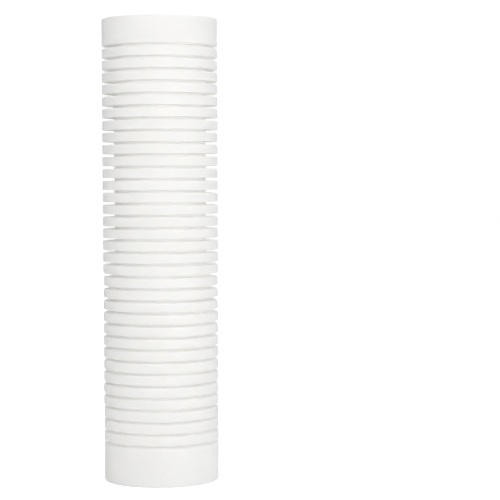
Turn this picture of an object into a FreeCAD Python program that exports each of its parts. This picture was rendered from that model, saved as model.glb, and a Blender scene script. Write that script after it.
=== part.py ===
"""Drop-in sediment filter cartridge, double open end, for a standard ten-inch housing.

The cartridge is a thick tube of melt-blown polypropylene fibre on a moulded, perforated core.
The fibre is laid down in four zones, each coarser than the one inside it, and the outermost zone
is cut by a stack of narrow ring grooves between two plain collars. Water enters the grooves, passes
inwards through the zones and the core's windows, and leaves along the bore. The housing's spigots
enter the two ends of the bore, and its ring-shaped knife edges bite into the two flat end faces.

Frame: millimetres, +Z up along the axis, origin at the centre of the lower end face.
"""

import FreeCAD
import Part

import math
import os

# Whole cartridge
LENGTH = 247.65  # 9 3/4 in, end face to end face
OUTER_DIAMETER = 62.0
BORE_DIAMETER = 28.0  # the usual opening for a housing's spigot

# Ring grooves in the outer zone
GROOVE_COUNT = 34
GROOVE_PITCH = 6.4
GROOVE_WIDTH = 1.6
GROOVE_DEPTH = 6.5
TOP_COLLAR = 14.6  # plain length above the uppermost groove
RIM_ROUND = 1.0  # outer corner of each end face
LAND_ROUND = 0.45  # outer corners of each land between grooves
FLOOR_ROUND = 0.3  # corners at the bottom of each groove

# Thickness of the zones, from the core outwards; the grooved outer zone takes what is left
CORE_WALL = 1.5
DRAINAGE_THICKNESS = 1.5
FINE_THICKNESS = 2.5
MEDIUM_THICKNESS = 3.0

# Moulded core
CORE_RECESS = 0.8  # the core stops this far short of each end face
CORE_RIM = 12.0  # plain length of wall at each end of the core
CORE_LEAD_IN = 0.5  # chamfer at the mouth of the bore
WINDOW_ROWS = 20
WINDOWS_AROUND = 8
RING_WIDTH = 3.0  # core wall between two rows of windows
WINDOW_WIDTH = 7.2  # across the window, at the core's outside
WINDOW_ROUND = 1.0

# Radii and heights that follow from these
OUTER_RADIUS = OUTER_DIAMETER / 2
BORE_RADIUS = BORE_DIAMETER / 2
CORE_RADIUS = BORE_RADIUS + CORE_WALL
DRAINAGE_RADIUS = CORE_RADIUS + DRAINAGE_THICKNESS
FINE_RADIUS = DRAINAGE_RADIUS + FINE_THICKNESS
MEDIUM_RADIUS = FINE_RADIUS + MEDIUM_THICKNESS
GROOVE_FLOOR_RADIUS = OUTER_RADIUS - GROOVE_DEPTH
GROOVE_STACK = (GROOVE_COUNT - 1) * GROOVE_PITCH + GROOVE_WIDTH
BOTTOM_COLLAR = LENGTH - TOP_COLLAR - GROOVE_STACK
CORE_LENGTH = LENGTH - 2 * CORE_RECESS
WINDOW_STACK = CORE_LENGTH - 2 * CORE_RIM
WINDOW_HEIGHT = (WINDOW_STACK - (WINDOW_ROWS - 1) * RING_WIDTH) / WINDOW_ROWS

AXIS_START = FreeCAD.Vector(0, 0, 0)
AXIS = FreeCAD.Vector(0, 0, 1)


def rounded_outline(corners):
    """Closed wire through (x, y, radius) corners, each with a tangent arc of its radius."""
    places = [FreeCAD.Vector(x, y, 0) for x, y, _ in corners]
    starts, ends, arcs = [], [], []
    for i, place in enumerate(places):
        radius = corners[i][2]
        to_last = (places[i - 1] - place).normalize()
        to_next = (places[(i + 1) % len(places)] - place).normalize()
        half_angle = to_last.getAngle(to_next) / 2
        cut_back = radius / math.tan(half_angle)
        starts.append(place + to_last * cut_back)
        ends.append(place + to_next * cut_back)
        bisector = (to_last + to_next).normalize()
        middle = place + bisector * (radius / math.sin(half_angle) - radius)
        arcs.append(Part.Arc(starts[i], middle, ends[i]).toShape() if radius else None)
    edges = []
    for i, arc in enumerate(arcs):
        if arc:
            edges.append(arc)
        edges.append(Part.LineSegment(ends[i], starts[(i + 1) % len(places)]).toShape())
    return Part.Wire(edges)


def turned(corners):
    """Solid of revolution about the axis, from an outline of (radius, height, corner radius)."""
    half_section = Part.Face(rounded_outline(corners))
    half_section.rotate(AXIS_START, FreeCAD.Vector(1, 0, 0), 90)
    return Part.Solid(half_section.revolve(AXIS_START, AXIS, 360))


def plain_zone(inner_radius, outer_radius):
    """A fibre zone with no grooves: a tube from one end face to the other."""
    return turned(
        [
            (inner_radius, 0, 0),
            (outer_radius, 0, 0),
            (outer_radius, LENGTH, 0),
            (inner_radius, LENGTH, 0),
        ]
    )


def grooved_outer_zone():
    """The coarse outer zone: two plain collars, with the ring grooves and lands between them."""
    corners = [(MEDIUM_RADIUS, 0, 0), (OUTER_RADIUS, 0, RIM_ROUND)]
    for groove in range(GROOVE_COUNT):
        low = BOTTOM_COLLAR + groove * GROOVE_PITCH
        high = low + GROOVE_WIDTH
        corners += [
            (OUTER_RADIUS, low, LAND_ROUND),
            (GROOVE_FLOOR_RADIUS, low, FLOOR_ROUND),
            (GROOVE_FLOOR_RADIUS, high, FLOOR_ROUND),
            (OUTER_RADIUS, high, LAND_ROUND),
        ]
    corners += [(OUTER_RADIUS, LENGTH, RIM_ROUND), (MEDIUM_RADIUS, LENGTH, 0)]
    return turned(corners)


def window_bar(height_at, angle):
    """A rounded bar right across the core, which cuts one window in each of two opposite walls."""
    half_width = WINDOW_WIDTH / 2
    half_height = WINDOW_HEIGHT / 2
    outline = rounded_outline(
        [
            (-half_width, -half_height, WINDOW_ROUND),
            (half_width, -half_height, WINDOW_ROUND),
            (half_width, half_height, WINDOW_ROUND),
            (-half_width, half_height, WINDOW_ROUND),
        ]
    )
    bar = Part.Face(outline).extrude(FreeCAD.Vector(0, 0, 4 * CORE_RADIUS))
    bar.translate(FreeCAD.Vector(0, 0, -2 * CORE_RADIUS))
    bar.rotate(AXIS_START, FreeCAD.Vector(1, 0, 0), 90)
    bar.rotate(AXIS_START, AXIS, angle)
    bar.translate(FreeCAD.Vector(0, 0, height_at))
    return bar


def support_core():
    """The moulded core: a tube with plain rims at both ends and rows of windows between them."""
    low = CORE_RECESS
    high = LENGTH - CORE_RECESS
    tube = turned(
        [
            (BORE_RADIUS + CORE_LEAD_IN, low, 0),
            (CORE_RADIUS, low, 0),
            (CORE_RADIUS, high, 0),
            (BORE_RADIUS + CORE_LEAD_IN, high, 0),
            (BORE_RADIUS, high - CORE_LEAD_IN, 0),
            (BORE_RADIUS, low + CORE_LEAD_IN, 0),
        ]
    )
    row_pitch = WINDOW_HEIGHT + RING_WIDTH
    lowest_row = low + CORE_RIM + WINDOW_HEIGHT / 2
    bars = [
        window_bar(lowest_row + row * row_pitch, bar * 360 / WINDOWS_AROUND)
        for row in range(WINDOW_ROWS)
        for bar in range(WINDOWS_AROUND // 2)
    ]
    return tube.cut(bars)


def subparts():
    """Every separate piece, by the name of its node."""
    return {
        "support_core": support_core(),
        "drainage_layer": plain_zone(CORE_RADIUS, DRAINAGE_RADIUS),
        "fine_filter_layer": plain_zone(DRAINAGE_RADIUS, FINE_RADIUS),
        "medium_filter_layer": plain_zone(FINE_RADIUS, MEDIUM_RADIUS),
        "grooved_outer_layer": grooved_outer_zone(),
    }


def main():
    os.makedirs("parts", exist_ok=True)
    for name, shape in subparts().items():
        shape.exportStep(f"parts/{name}.step")
        volume = shape.Volume / 1000
        print(f"{name}: {len(shape.Solids)} solid, valid {shape.isValid()}, {volume:.2f} cm3")


main()
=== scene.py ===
# Looks of a ring-grooved sediment cartridge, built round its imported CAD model. Metres, +Z up.
#
# Melt-blown fibre is never a clean tube, so the four fibre zones are turned meshes that are then
# roughened: the lay of the fibre shows as faint crossing helices, the lands bulge, the cuts wander
# and have ragged edges with strands left across them, and the sawn end faces are rough. The
# moulded core keeps the CAD's own mesh and gets a plastic material.

import math
import random

import bpy
from mathutils import Euler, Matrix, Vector, noise


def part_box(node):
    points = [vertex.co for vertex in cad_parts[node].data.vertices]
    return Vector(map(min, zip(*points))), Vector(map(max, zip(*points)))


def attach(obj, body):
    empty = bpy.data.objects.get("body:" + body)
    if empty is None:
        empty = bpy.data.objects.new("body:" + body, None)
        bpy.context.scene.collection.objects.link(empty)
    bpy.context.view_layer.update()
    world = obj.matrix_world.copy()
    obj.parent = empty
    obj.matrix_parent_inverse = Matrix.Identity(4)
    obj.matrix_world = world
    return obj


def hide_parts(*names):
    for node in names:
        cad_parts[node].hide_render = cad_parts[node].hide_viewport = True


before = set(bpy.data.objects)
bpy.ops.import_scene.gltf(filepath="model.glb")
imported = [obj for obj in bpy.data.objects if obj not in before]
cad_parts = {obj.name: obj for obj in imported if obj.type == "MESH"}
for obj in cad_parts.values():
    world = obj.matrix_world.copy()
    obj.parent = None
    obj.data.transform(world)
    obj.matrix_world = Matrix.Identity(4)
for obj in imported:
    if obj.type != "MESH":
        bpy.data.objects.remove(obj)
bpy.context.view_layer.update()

MM = 0.001

# Radii and length, from the CAD
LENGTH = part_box("grooved_outer_layer")[1].z
OUTER_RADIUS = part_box("grooved_outer_layer")[1].x
MEDIUM_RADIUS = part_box("medium_filter_layer")[1].x
FINE_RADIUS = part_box("fine_filter_layer")[1].x
DRAINAGE_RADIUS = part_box("drainage_layer")[1].x
CORE_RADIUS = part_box("support_core")[1].x

# Ring grooves, as in the CAD
GROOVE_COUNT = 34
GROOVE_PITCH = 6.4 * MM
GROOVE_WIDTH = 1.6 * MM
GROOVE_DEPTH = 6.5 * MM
TOP_COLLAR = 14.6 * MM
BOTTOM_COLLAR = LENGTH - TOP_COLLAR - (GROOVE_COUNT - 1) * GROOVE_PITCH - GROOVE_WIDTH

# The zones' turned shapes
SKIN_INSET = 0.13 * MM  # keeps the roughened skin inside the CAD's outline
RIM_ROUND = 0.8 * MM
LAND_TOP_ROUND = 0.55 * MM  # the saw leaves the lower edge of a land crisper than the upper one
LAND_FOOT_ROUND = 0.4 * MM
FLOOR_MARGIN = 0.2 * MM  # from a groove's wall to the first ring of its floor
ZONE_GAP = 0.02 * MM  # between two zones' skins, so that light passes from one to the next
SEGMENTS = 176  # faces round each turned mesh
SHARP = math.radians(60)  # a sawn corner stays crisp, a rounded one is smooth

# How finely a profile is divided
END_STEPS = 9  # across a sawn end of the grooved zone
RIM_STEPS = 3
BOTTOM_COLLAR_STEPS = 14
TOP_COLLAR_STEPS = 10
LAND_STEPS = 4
LAND_ROUND_STEPS = 2
WALL_STEPS = 3  # down a groove's wall
HIDDEN_STEPS = 4  # along a skin that the next zone covers
DRAINAGE_STEPS = 120  # along the drainage zone's inner skin, which shows through the core's windows
INNER_END_STEP = 0.7 * MM  # across a sawn end of an inner zone

# How rough the fibre is: (height, noise cycles a metre), or cycles a radian for noise round a ring
BULGE = (0.08 * MM, 45)
LAND_OFFSET = (0.08 * MM, 1.2)
GRAIN = (0.04 * MM, 330)
FINE_GRAIN = (0.02 * MM, 800)
WANDER = (0.06 * MM, 1.5)
RAGGED = (0.04 * MM, 9)
FINE_RAGGED = (0.05 * MM, 26)
FLOOR_UNEVENNESS = (0.2 * MM, 7)
SAWN_LUMPS = (0.10 * MM, 260)
SAWN_TUFTS = (0.14 * MM, 900)
CUT_REACH = 1.2 * MM  # how far from a cut its wander and raggedness are felt
DEEP = 0.75  # of a groove's depth, past which its wall has the floor's unevenness
TINY = 0.01 * MM

# Rows of the noise round a ring, apart so that no two kinds of roughness share one
WANDER_ROWS = 0
RAGGED_ROWS = 100
FINE_RAGGED_ROWS = 300
FLOOR_ROWS = 500
LAND_ROWS = 900
ROW_SPACING = 7.31

# The lay of the fibre
LAY_TWIST = 56.0  # radians a metre: the helix on which fibre is laid down, in both directions
LAY_RELIEF = 0.05 * MM
LAY_ROUND = 11  # ridges a radian
LAY_ALONG = 40  # and a metre of length

# Strands left across the grooves
STRANDS_PER_GROOVE = 6
STRAND_POINTS = 7
STRAND_SIDES = 5
STRAND_SEED = 34
STRAND_SLANT = 0.09  # radians round the axis, at most
STRAND_DEPTHS = (0.5 * MM, 3.0 * MM)  # below the CAD's outline
STRAND_SAGS = (0.1 * MM, 0.8 * MM)
STRAND_RADII = (0.04 * MM, 0.09 * MM)
STRAND_CURL = 0.012  # radians round the axis, either way
STRAND_HOLD = 0.25 * MM  # each end's length inside a land


# Turned meshes: a profile is a closed run of (radius, height) points, anticlockwise in its half plane


def stretch(start, end, steps):
    """The points strictly between two profile points, evenly spaced."""
    return [
        (start[0] + (end[0] - start[0]) * k / steps, start[1] + (end[1] - start[1]) * k / steps)
        for k in range(1, steps)
    ]


def quarter(centre, radius, start, steps):
    """A quarter arc round a centre, from an angle in degrees, anticlockwise, both ends included."""
    turns = [math.radians(start + 90 * k / steps) for k in range(steps + 1)]
    return [(centre[0] + radius * math.cos(a), centre[1] + radius * math.sin(a)) for a in turns]


def joined(corners, steps):
    """A closed profile through corners, with steps[i] stretches from corner i to the next."""
    points = []
    for i, corner in enumerate(corners):
        points.append(corner)
        points += stretch(corner, corners[(i + 1) % len(corners)], steps[i])
    return points


def outer_profile():
    """The grooved zone: two collars, and between them the lands with the grooves cut down to a floor."""
    skin = OUTER_RADIUS - SKIN_INSET
    floor = OUTER_RADIUS - GROOVE_DEPTH
    rim = skin - RIM_ROUND
    foot = skin - LAND_FOOT_ROUND
    top = skin - LAND_TOP_ROUND
    points = [(MEDIUM_RADIUS, 0.0)]
    points += stretch(points[-1], (rim, 0.0), END_STEPS)
    points += quarter((rim, RIM_ROUND), RIM_ROUND, -90, RIM_STEPS)
    for groove in range(GROOVE_COUNT):
        low = BOTTOM_COLLAR + groove * GROOVE_PITCH
        high = low + GROOVE_WIDTH
        skin_steps = BOTTOM_COLLAR_STEPS if groove == 0 else LAND_STEPS
        points += stretch(points[-1], (skin, low - LAND_TOP_ROUND), skin_steps)
        points += quarter((top, low - LAND_TOP_ROUND), LAND_TOP_ROUND, 0, LAND_ROUND_STEPS)
        points += stretch(points[-1], (floor, low), WALL_STEPS)
        points += [(floor, low + FLOOR_MARGIN), (floor, high - FLOOR_MARGIN)]
        points += stretch((floor, high), (foot, high), WALL_STEPS)
        points += quarter((foot, high + LAND_FOOT_ROUND), LAND_FOOT_ROUND, -90, LAND_ROUND_STEPS)
    points += stretch(points[-1], (skin, LENGTH - RIM_ROUND), TOP_COLLAR_STEPS)
    points += quarter((rim, LENGTH - RIM_ROUND), RIM_ROUND, 0, RIM_STEPS)
    points += stretch(points[-1], (MEDIUM_RADIUS, LENGTH), END_STEPS)
    points += [(MEDIUM_RADIUS, LENGTH)]
    points += stretch(points[-1], (MEDIUM_RADIUS, 0.0), HIDDEN_STEPS)
    return points


def inner_profile(inner, outer, inner_steps):
    """An ungrooved zone: a tube from end to end, finely divided across its two sawn faces."""
    across = max(3, round((outer - inner) / INNER_END_STEP))
    outer -= ZONE_GAP
    corners = [(inner, 0.0), (outer, 0.0), (outer, LENGTH), (inner, LENGTH)]
    return joined(corners, [across, HIDDEN_STEPS, across, inner_steps])


def turned(name, profile, rough):
    """A closed mesh turned from a profile, each vertex placed by rough(radius, height, angle)."""
    rings = len(profile)
    angles = [2 * math.pi * s / SEGMENTS for s in range(SEGMENTS)]
    verts = []
    for radius, height in profile:
        for angle in angles:
            new_radius, new_height = rough(radius, height, angle)
            verts.append((new_radius * math.cos(angle), new_radius * math.sin(angle), new_height))
    faces = []
    for ring in range(rings):
        here = ring * SEGMENTS
        above = (ring + 1) % rings * SEGMENTS
        for s in range(SEGMENTS):
            after = (s + 1) % SEGMENTS
            faces.append((here + s, here + after, above + after, above + s))
    mesh = bpy.data.meshes.new(name)
    mesh.from_pydata(verts, [], faces)
    mesh.shade_smooth()
    mesh.set_sharp_from_angle(angle=SHARP)
    piece = bpy.data.objects.new(name, mesh)
    bpy.context.scene.collection.objects.link(piece)
    return piece


def relief(kind, place):
    """The height of one kind of roughness at a place in space."""
    height, cycles = kind
    return height * noise.noise(place * cycles)


def ring_relief(kind, angle, row):
    """The height of one kind of roughness round a ring; each row is a different ring."""
    height, cycles = kind
    turn = (cycles * math.cos(angle), cycles * math.sin(angle), ROW_SPACING * row)
    return height * noise.noise(Vector(turn))


def sawn_away(kind, place):
    """How far one kind of roughness lies below a sawn end, which is from nothing to its height."""
    return kind[0] / 2 + relief(kind, place) / 2


def lay(angle, height):
    """The two crossing helices of laid fibre, as faint ridges about 3 mm wide and 25 mm long."""
    total = 0.0
    for twist in (LAY_TWIST, -LAY_TWIST):
        turn = angle + twist * height
        round_axis = (LAY_ROUND * math.cos(turn), LAY_ROUND * math.sin(turn))
        total += noise.noise(Vector((*round_axis, LAY_ALONG * height)))
    return LAY_RELIEF * total


def sawn(height, place):
    """An end face is sawn: lumps and tufts, all of them below the true end of the cartridge."""
    down = sawn_away(SAWN_LUMPS, place) + sawn_away(SAWN_TUFTS, place)
    return height + down if height < LENGTH / 2 else height - down


def on_end(height):
    """True on the two end faces."""
    return height < TINY or height > LENGTH - TINY


def rough_outer(radius, height, angle):
    """The grooved zone's skin: lumpy lands, cuts that wander, and ragged edges."""
    if radius < MEDIUM_RADIUS + TINY:
        return radius, height
    place = Vector((radius * math.cos(angle), radius * math.sin(angle), height))
    land = math.floor((height - BOTTOM_COLLAR) / GROOVE_PITCH)
    radius += relief(BULGE, place) + ring_relief(LAND_OFFSET, angle, LAND_ROWS + land)
    if on_end(height):
        return radius, sawn(height, place)
    radius += relief(GRAIN, place) + relief(FINE_GRAIN, place) + lay(angle, height)
    cut = round((height - BOTTOM_COLLAR - GROOVE_WIDTH / 2) / GROOVE_PITCH)
    if 0 <= cut < GROOVE_COUNT:
        middle = BOTTOM_COLLAR + GROOVE_WIDTH / 2 + cut * GROOVE_PITCH
        side = 1 if height > middle else -1
        edge = 2 * cut + side
        nearness = max(0.0, 1 - (abs(height - middle) - GROOVE_WIDTH / 2) / CUT_REACH)
        ragged = ring_relief(RAGGED, angle, RAGGED_ROWS + edge)
        ragged += ring_relief(FINE_RAGGED, angle, FINE_RAGGED_ROWS + edge)
        wander = ring_relief(WANDER, angle, WANDER_ROWS + cut)
        height += min(1.0, nearness) * (wander + side * ragged)
        if radius < OUTER_RADIUS - DEEP * GROOVE_DEPTH:
            radius += ring_relief(FLOOR_UNEVENNESS, angle, FLOOR_ROWS + cut)
    return radius, height


def rough_inner(radius, height, angle):
    """An inner zone's skin: only its sawn ends and the drainage zone's inner skin are ever seen."""
    if on_end(height):
        place = Vector((radius * math.cos(angle), radius * math.sin(angle), height))
        return radius, sawn(height, place)
    return radius, height


# Materials

PRESSED = 0.45  # of the skin's relief, where the saw has pressed the fibre
PRESSED_DEPTH = 1.2 * MM  # below the CAD's outline, from where it is pressed all the way
PRESSED_BAND = 0.8 * MM  # outwards from there, over which the relief rises again
SAWN_BAND = 0.5 * MM  # along the axis at each end, which has its whole relief
LAY_SQUEEZE = 0.12  # of the threads' pattern along the axis, which makes it streaks
LAY_SCALES = (1100, 950)  # threads on the two helices
TANGLE_SCALE = 600
CLUMP_SCALE = 170
THREAD_EDGE = 0.09  # how far from its middle line a thread reaches, in noise values
LAYER_SCALE = 1500
LAYER_WAVER = 2.5 * MM  # how far a layer strays from a true ring
LAYER_WAVER_SCALE = 160
LAYER_SHARE = 0.35  # of the fibre's tone that its layers give


def add(tree, kind, inputs=None, **settings):
    """A shader node with some of its settings and input values."""
    made = tree.nodes.new(kind)
    for key, value in settings.items():
        setattr(made, key, value)
    for key, value in (inputs or {}).items():
        made.inputs[key].default_value = value
    return made


def ridges(tree, vector, scale, detail, distortion):
    """Noise folded about its middle, so that thin curving lines stand at its value of nought."""
    link = tree.links.new
    tangle = add(
        tree, "ShaderNodeTexNoise", {"Scale": scale, "Detail": detail, "Distortion": distortion}
    )
    link(vector, tangle.inputs["Vector"])
    centred = add(tree, "ShaderNodeMath", {1: 0.5}, operation="SUBTRACT")
    link(tangle.outputs["Fac"], centred.inputs[0])
    folded = add(tree, "ShaderNodeMath", operation="ABSOLUTE")
    link(centred.outputs["Value"], folded.inputs[0])
    return folded.outputs["Value"]


def twisted(tree, coords, twist):
    """Object coordinates wound round the axis and squeezed along it: a helix becomes a straight line."""
    link = tree.links.new
    split = add(tree, "ShaderNodeSeparateXYZ")
    link(coords, split.inputs["Vector"])
    turn = add(tree, "ShaderNodeMath", {1: twist}, operation="MULTIPLY")
    link(split.outputs["Z"], turn.inputs[0])
    wound = add(tree, "ShaderNodeVectorRotate", rotation_type="Z_AXIS")
    link(coords, wound.inputs["Vector"])
    link(turn.outputs["Value"], wound.inputs["Angle"])
    drawn = add(tree, "ShaderNodeMapping", {"Scale": (1, 1, LAY_SQUEEZE)})
    link(wound.outputs["Vector"], drawn.inputs["Vector"])
    return drawn.outputs["Vector"]


def smallest(tree, values):
    """The least of several values."""
    least = values[0]
    for value in values[1:]:
        pick = add(tree, "ShaderNodeMath", operation="MINIMUM")
        tree.links.new(least, pick.inputs[0])
        tree.links.new(value, pick.inputs[1])
        least = pick.outputs["Value"]
    return least


def distance_from_axis(tree, coords):
    """How far each point is from the cartridge's axis."""
    flat = add(tree, "ShaderNodeVectorMath", {1: (1, 1, 0)}, operation="MULTIPLY")
    tree.links.new(coords, flat.inputs[0])
    reach = add(tree, "ShaderNodeVectorMath", operation="LENGTH")
    tree.links.new(flat.outputs["Vector"], reach.inputs[0])
    return reach.outputs["Value"]


def layers(tree, coords, reach, scale):
    """The layers of laid fibre, seen as uneven rings wherever the saw has cut across them."""
    link = tree.links.new
    unevenness = add(tree, "ShaderNodeTexNoise", {"Scale": LAYER_WAVER_SCALE, "Detail": 2.0})
    link(coords, unevenness.inputs["Vector"])
    moved = add(tree, "ShaderNodeMath", {1: LAYER_WAVER}, operation="MULTIPLY_ADD")
    link(unevenness.outputs["Fac"], moved.inputs[0])
    link(reach, moved.inputs[2])
    rings = add(tree, "ShaderNodeTexNoise", {"Scale": scale, "Detail": 2.0}, noise_dimensions="1D")
    link(moved.outputs["Value"], rings.inputs["W"])
    return rings.outputs["Fac"]


def standing_proud(tree, coords, reach, pressed_radius):
    """1 on the skin and on the two sawn ends, and PRESSED elsewhere inside pressed_radius."""
    link = tree.links.new
    skin = add(
        tree,
        "ShaderNodeMapRange",
        {
            "From Min": pressed_radius,
            "From Max": pressed_radius + PRESSED_BAND,
            "To Min": PRESSED,
        },
    )
    link(reach, skin.inputs["Value"])
    split = add(tree, "ShaderNodeSeparateXYZ")
    link(coords, split.inputs["Vector"])
    from_middle = add(tree, "ShaderNodeMath", {1: LENGTH / 2}, operation="SUBTRACT")
    link(split.outputs["Z"], from_middle.inputs[0])
    either_way = add(tree, "ShaderNodeMath", operation="ABSOLUTE")
    link(from_middle.outputs["Value"], either_way.inputs[0])
    ends = add(tree, "ShaderNodeMath", {1: LENGTH / 2 - SAWN_BAND}, operation="GREATER_THAN")
    link(either_way.outputs["Value"], ends.inputs[0])
    most = add(tree, "ShaderNodeMath", operation="MAXIMUM")
    link(skin.outputs["Result"], most.inputs[0])
    link(ends.outputs["Value"], most.inputs[1])
    return most.outputs["Value"]


def fibre(name, light, tone_and_gap_shade, coarseness, height, pressed_radius=0.0):
    """Melt-blown fibre: threads laid on two crossing helices over a random tangle and soft clumps.

    Threads stand up to height above the gaps. Inside pressed_radius the saw has pressed the fibre
    flatter.
    """
    material = bpy.data.materials.new(name)
    material.use_nodes = True
    tree = material.node_tree
    link = tree.links.new
    shader = tree.nodes["Principled BSDF"]
    shader.inputs["Subsurface Weight"].default_value = 1.0
    shader.inputs["Subsurface Radius"].default_value = (1.0, 0.98, 0.93)
    shader.inputs["Subsurface Scale"].default_value = 0.6 * MM
    shader.inputs["Specular IOR Level"].default_value = 0.25
    coords = add(tree, "ShaderNodeTexCoord").outputs["Object"]
    laid = [
        ridges(tree, twisted(tree, coords, twist), scale / coarseness, 2.0, 0.5)
        for twist, scale in zip((LAY_TWIST, -LAY_TWIST), LAY_SCALES)
    ]
    web = smallest(tree, [*laid, ridges(tree, coords, TANGLE_SCALE / coarseness, 3.0, 1.6)])
    threads = add(
        tree,
        "ShaderNodeMapRange",
        {"From Min": 0.0, "From Max": THREAD_EDGE, "To Min": 1.0, "To Max": 0.0},
    )
    link(web, threads.inputs["Value"])
    clumps = add(tree, "ShaderNodeTexNoise", {"Scale": CLUMP_SCALE / coarseness, "Detail": 5.0})
    link(coords, clumps.inputs["Vector"])
    web_tone = add(tree, "ShaderNodeMix", {"Factor": 0.5}, data_type="FLOAT")
    link(threads.outputs["Result"], web_tone.inputs["A"])
    link(clumps.outputs["Fac"], web_tone.inputs["B"])
    reach = distance_from_axis(tree, coords)
    tone = add(tree, "ShaderNodeMix", {"Factor": LAYER_SHARE}, data_type="FLOAT")
    link(web_tone.outputs["Result"], tone.inputs["A"])
    link(layers(tree, coords, reach, LAYER_SCALE / coarseness), tone.inputs["B"])
    # Painted shade: the gaps between the raised threads take the darker colour, standing in for the
    # shade the threads cast. The clumps and the layers also vary the fibre's tone at random.
    paint = add(tree, "ShaderNodeMix", data_type="RGBA")
    paint.inputs["A"].default_value = (*tone_and_gap_shade, 1)
    paint.inputs["B"].default_value = (*light, 1)
    link(tone.outputs["Result"], paint.inputs["Factor"])
    link(paint.outputs["Result"], shader.inputs["Base Color"])
    gloss = add(tree, "ShaderNodeMapRange", {"To Min": 0.95, "To Max": 0.7})
    link(threads.outputs["Result"], gloss.inputs["Value"])
    link(gloss.outputs["Result"], shader.inputs["Roughness"])
    bump = add(tree, "ShaderNodeBump", {"Distance": height})
    link(standing_proud(tree, coords, reach, pressed_radius), bump.inputs["Strength"])
    link(tone.outputs["Result"], bump.inputs["Height"])
    link(bump.outputs["Normal"], shader.inputs["Normal"])
    return material


def moulded_plastic():
    """Natural moulded polypropylene: milky and satin, with flow clouds and a fine mould grain."""
    material = bpy.data.materials.new("moulded_polypropylene")
    material.use_nodes = True
    tree = material.node_tree
    link = tree.links.new
    shader = tree.nodes["Principled BSDF"]
    shader.inputs["Subsurface Weight"].default_value = 0.5
    shader.inputs["Subsurface Radius"].default_value = (1.0, 1.0, 1.0)
    shader.inputs["Subsurface Scale"].default_value = 1.5 * MM
    coords = add(tree, "ShaderNodeTexCoord")
    clouds = add(tree, "ShaderNodeTexNoise", {"Scale": 90.0, "Detail": 3.0})
    link(coords.outputs["Object"], clouds.inputs["Vector"])
    paint = add(tree, "ShaderNodeMix", data_type="RGBA")
    paint.inputs["A"].default_value = (0.92, 0.925, 0.915, 1)
    paint.inputs["B"].default_value = (0.96, 0.96, 0.952, 1)
    link(clouds.outputs["Fac"], paint.inputs["Factor"])
    link(paint.outputs["Result"], shader.inputs["Base Color"])
    polish = add(tree, "ShaderNodeMapRange", {"To Min": 0.3, "To Max": 0.5})
    link(clouds.outputs["Fac"], polish.inputs["Value"])
    link(polish.outputs["Result"], shader.inputs["Roughness"])
    grain = add(tree, "ShaderNodeTexNoise", {"Scale": 1500.0})
    link(coords.outputs["Object"], grain.inputs["Vector"])
    bump = add(tree, "ShaderNodeBump", {"Strength": 0.15, "Distance": 0.05 * MM})
    link(grain.outputs["Fac"], bump.inputs["Height"])
    link(bump.outputs["Normal"], shader.inputs["Normal"])
    return material


def put_on(piece, material):
    """One material over the whole of a piece."""
    piece.data.materials.clear()
    piece.data.materials.append(material)


# The cartridge


def fibre_zone(name, node, profile, rough, material):
    """One fibre zone: its turned mesh in the place of its CAD node."""
    piece = turned(name, profile, rough)
    put_on(piece, material)
    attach(piece, "root")
    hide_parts(node)


def strand(rng, groove):
    """The path of one strand left across a groove, from the land below it to the land above."""
    low = BOTTOM_COLLAR + groove * GROOVE_PITCH
    start = rng.uniform(0, 2 * math.pi)
    slant = rng.uniform(-STRAND_SLANT, STRAND_SLANT)
    held_radius = OUTER_RADIUS - rng.uniform(*STRAND_DEPTHS)
    sag = rng.uniform(*STRAND_SAGS)
    path = []
    for k in range(STRAND_POINTS):
        t = k / (STRAND_POINTS - 1)
        height = low - STRAND_HOLD + (GROOVE_WIDTH + 2 * STRAND_HOLD) * t
        radius = held_radius - sag * 4 * t * (1 - t)
        angle = start + slant * t + STRAND_CURL * math.sin(2 * math.pi * t + start)
        path.append(Vector((radius * math.cos(angle), radius * math.sin(angle), height)))
    return path


def add_tube(verts, faces, path, thickness):
    """Adds a closed thin tube along a path to lists of vertices and faces."""
    base = len(verts)
    for i, point in enumerate(path):
        along = path[min(i + 1, len(path) - 1)] - path[max(i - 1, 0)]
        across = along.to_track_quat("Z", "X")
        for side in range(STRAND_SIDES):
            turn = 2 * math.pi * side / STRAND_SIDES
            verts.append(point + across @ Vector((math.cos(turn), math.sin(turn), 0)) * thickness)
    for i in range(len(path) - 1):
        ring = base + i * STRAND_SIDES
        above = ring + STRAND_SIDES
        for side in range(STRAND_SIDES):
            after = (side + 1) % STRAND_SIDES
            faces.append((ring + side, ring + after, above + after, above + side))
    end = base + (len(path) - 1) * STRAND_SIDES
    faces.append(tuple(base + side for side in reversed(range(STRAND_SIDES))))
    faces.append(tuple(end + side for side in range(STRAND_SIDES)))


def strands():
    """All the strands that the saw left across the grooves, in one mesh."""
    rng = random.Random(STRAND_SEED)
    verts, faces = [], []
    for groove in range(GROOVE_COUNT):
        for _ in range(STRANDS_PER_GROOVE):
            path = strand(rng, groove)
            add_tube(verts, faces, path, rng.uniform(*STRAND_RADII))
    mesh = bpy.data.meshes.new("groove_strands")
    mesh.from_pydata(verts, [], faces)
    mesh.shade_smooth()
    piece = bpy.data.objects.new("groove_strands", mesh)
    bpy.context.scene.collection.objects.link(piece)
    return piece


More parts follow.
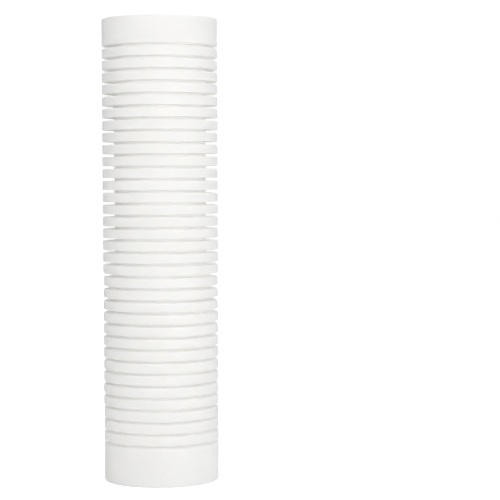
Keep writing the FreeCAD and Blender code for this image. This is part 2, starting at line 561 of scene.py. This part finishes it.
coarse = fibre(
    "coarse_fibre",
    (0.999, 0.9975, 0.993),
    (0.991, 0.989, 0.984),
    1.0,
    0.4 * MM,
    pressed_radius=OUTER_RADIUS - PRESSED_DEPTH,
)
fibre_zone(
    "outer_fibre",
    "grooved_outer_layer",
    outer_profile(),
    rough_outer,
    coarse,
)
loose_strands = strands()
put_on(loose_strands, coarse)
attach(loose_strands, "root")
fibre_zone(
    "medium_fibre",
    "medium_filter_layer",
    inner_profile(FINE_RADIUS, MEDIUM_RADIUS, HIDDEN_STEPS),
    rough_inner,
    fibre("medium_fibre", (0.985, 0.98, 0.97), (0.955, 0.95, 0.937), 0.75, 0.2 * MM),
)
fibre_zone(
    "fine_fibre",
    "fine_filter_layer",
    inner_profile(DRAINAGE_RADIUS, FINE_RADIUS, HIDDEN_STEPS),
    rough_inner,
    fibre("fine_fibre", (0.99, 0.988, 0.98), (0.965, 0.962, 0.952), 0.5, 0.12 * MM),
)
fibre_zone(
    "drainage_fibre",
    "drainage_layer",
    inner_profile(CORE_RADIUS, DRAINAGE_RADIUS, DRAINAGE_STEPS),
    rough_inner,
    fibre("drainage_fibre", (0.985, 0.98, 0.97), (0.95, 0.944, 0.93), 1.4, 0.35 * MM),
)
put_on(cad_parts["support_core"], moulded_plastic())

# Floor, light and camera

FLOOR_SIZE = 60.0
FLOOR_GLOW = 0.6  # lifts the floor to the camera only, so that it reads as white paper
SKY_SEEN = 1.05  # the sky's strength to the camera
SKY_LOW = 0.38  # ambient light at the horizon
SKY_HIGH = 0.66  # and from straight overhead
LIGHT_COLOUR = (1.0, 0.995, 0.979)
CENTRE = Vector((0, 0, LENGTH / 2))


def glow_for_camera(tree, lit, strength, on_top):
    """A shader to which the camera sees a white glow added, or else sees only the glow."""
    glow = add(tree, "ShaderNodeEmission", {"Strength": strength})
    seen = glow.outputs["Emission"]
    if on_top:
        total = add(tree, "ShaderNodeAddShader")
        tree.links.new(lit, total.inputs[0])
        tree.links.new(seen, total.inputs[1])
        seen = total.outputs["Shader"]
    ray = add(tree, "ShaderNodeLightPath")
    pick = add(tree, "ShaderNodeMixShader")
    tree.links.new(ray.outputs["Is Camera Ray"], pick.inputs["Fac"])
    tree.links.new(lit, pick.inputs[1])
    tree.links.new(seen, pick.inputs[2])
    return pick.outputs["Shader"]


def pale_floor():
    """A large matt white floor."""
    mesh = bpy.data.meshes.new("floor")
    half = FLOOR_SIZE / 2
    corners = [(-half, -half, 0), (half, -half, 0), (half, half, 0), (-half, half, 0)]
    mesh.from_pydata(corners, [], [(0, 1, 2, 3)])
    floor = bpy.data.objects.new("floor", mesh)
    bpy.context.scene.collection.objects.link(floor)
    material = bpy.data.materials.new("floor_paper")
    material.use_nodes = True
    tree = material.node_tree
    shader = tree.nodes["Principled BSDF"]
    shader.inputs["Base Color"].default_value = (0.85, 0.85, 0.85, 1)
    shader.inputs["Roughness"].default_value = 0.9
    shader.inputs["Specular IOR Level"].default_value = 0.1
    out = tree.nodes["Material Output"]
    mixed = glow_for_camera(tree, shader.outputs["BSDF"], FLOOR_GLOW, on_top=True)
    tree.links.new(mixed, out.inputs["Surface"])
    put_on(floor, material)


def soft_sky():
    """Even ambient light, brighter overhead; plain white to the camera."""
    world = bpy.data.worlds.new("studio")
    bpy.context.scene.world = world
    world.use_nodes = True
    tree = world.node_tree
    light = tree.nodes["Background"]
    light.inputs["Color"].default_value = (*LIGHT_COLOUR, 1)
    coords = add(tree, "ShaderNodeTexCoord")
    split = add(tree, "ShaderNodeSeparateXYZ")
    tree.links.new(coords.outputs["Generated"], split.inputs["Vector"])
    overhead = add(tree, "ShaderNodeMath", operation="MULTIPLY")
    tree.links.new(split.outputs["Z"], overhead.inputs[0])
    tree.links.new(split.outputs["Z"], overhead.inputs[1])
    ramp = add(tree, "ShaderNodeMapRange", {"To Min": SKY_LOW, "To Max": SKY_HIGH})
    tree.links.new(overhead.outputs["Value"], ramp.inputs["Value"])
    tree.links.new(ramp.outputs["Result"], light.inputs["Strength"])
    mixed = glow_for_camera(tree, light.outputs["Background"], SKY_SEEN, on_top=False)
    tree.links.new(mixed, tree.nodes["World Output"].inputs["Surface"])


def soft_box(name, place, width, height, power):
    """A soft box, its power in watts, that faces the middle of the cartridge."""
    data = bpy.data.lights.new(name, "AREA")
    data.shape = "RECTANGLE"
    data.size = width
    data.size_y = height
    data.energy = power
    data.color = LIGHT_COLOUR
    lamp = bpy.data.objects.new(name, data)
    lamp.location = place
    lamp.rotation_mode = "QUATERNION"
    lamp.rotation_quaternion = (Vector(place) - CENTRE).to_track_quat("Z", "Y")
    bpy.context.scene.collection.objects.link(lamp)


pale_floor()
soft_sky()
soft_box("key", (0.05, -1.75, 0.50), 0.8, 0.6, 10.9)
soft_box("left_fill", (-1.2, -1.3, 0.3), 0.6, 0.9, 1.6)
soft_box("high_front", (0.1, -0.9, 1.5), 0.8, 0.8, 4.6)
soft_box("right_fill", (1.7, -0.2, 0.4), 0.9, 0.9, 5.6)
soft_box("back_fill", (0.0, 1.9, 0.6), 0.8, 0.8, 13.0)
soft_box("overhead", (0.0, 0.5, 1.6), 0.8, 0.8, 4.5)
bpy.context.scene.view_settings.view_transform = "Standard"

# White fibre keeps its light: deep grooves stay pale only after many bounces
bpy.context.scene.cycles.diffuse_bounces = 24
bpy.context.scene.cycles.max_bounces = 32

CAMERA_PLACE = (0.0482, -0.9315, 0.1641)
CAMERA_DOWN = 2.49  # degrees below level
CAMERA_ROLL = -0.22  # degrees
CAMERA_LENS = 124.5  # millimetres
SENSOR_WIDTH = 36
camera_data = bpy.data.cameras.new("camera")
camera_data.lens = CAMERA_LENS
camera_data.sensor_width = SENSOR_WIDTH
camera_data.clip_start = 0.05
camera_data.clip_end = 200
camera = bpy.data.objects.new("camera", camera_data)
camera.location = CAMERA_PLACE
camera.rotation_euler = Euler((math.radians(90 - CAMERA_DOWN), 0, 0))
camera.rotation_euler.rotate_axis("Z", math.radians(CAMERA_ROLL))
bpy.context.scene.collection.objects.link(camera)
bpy.context.scene.camera = camera
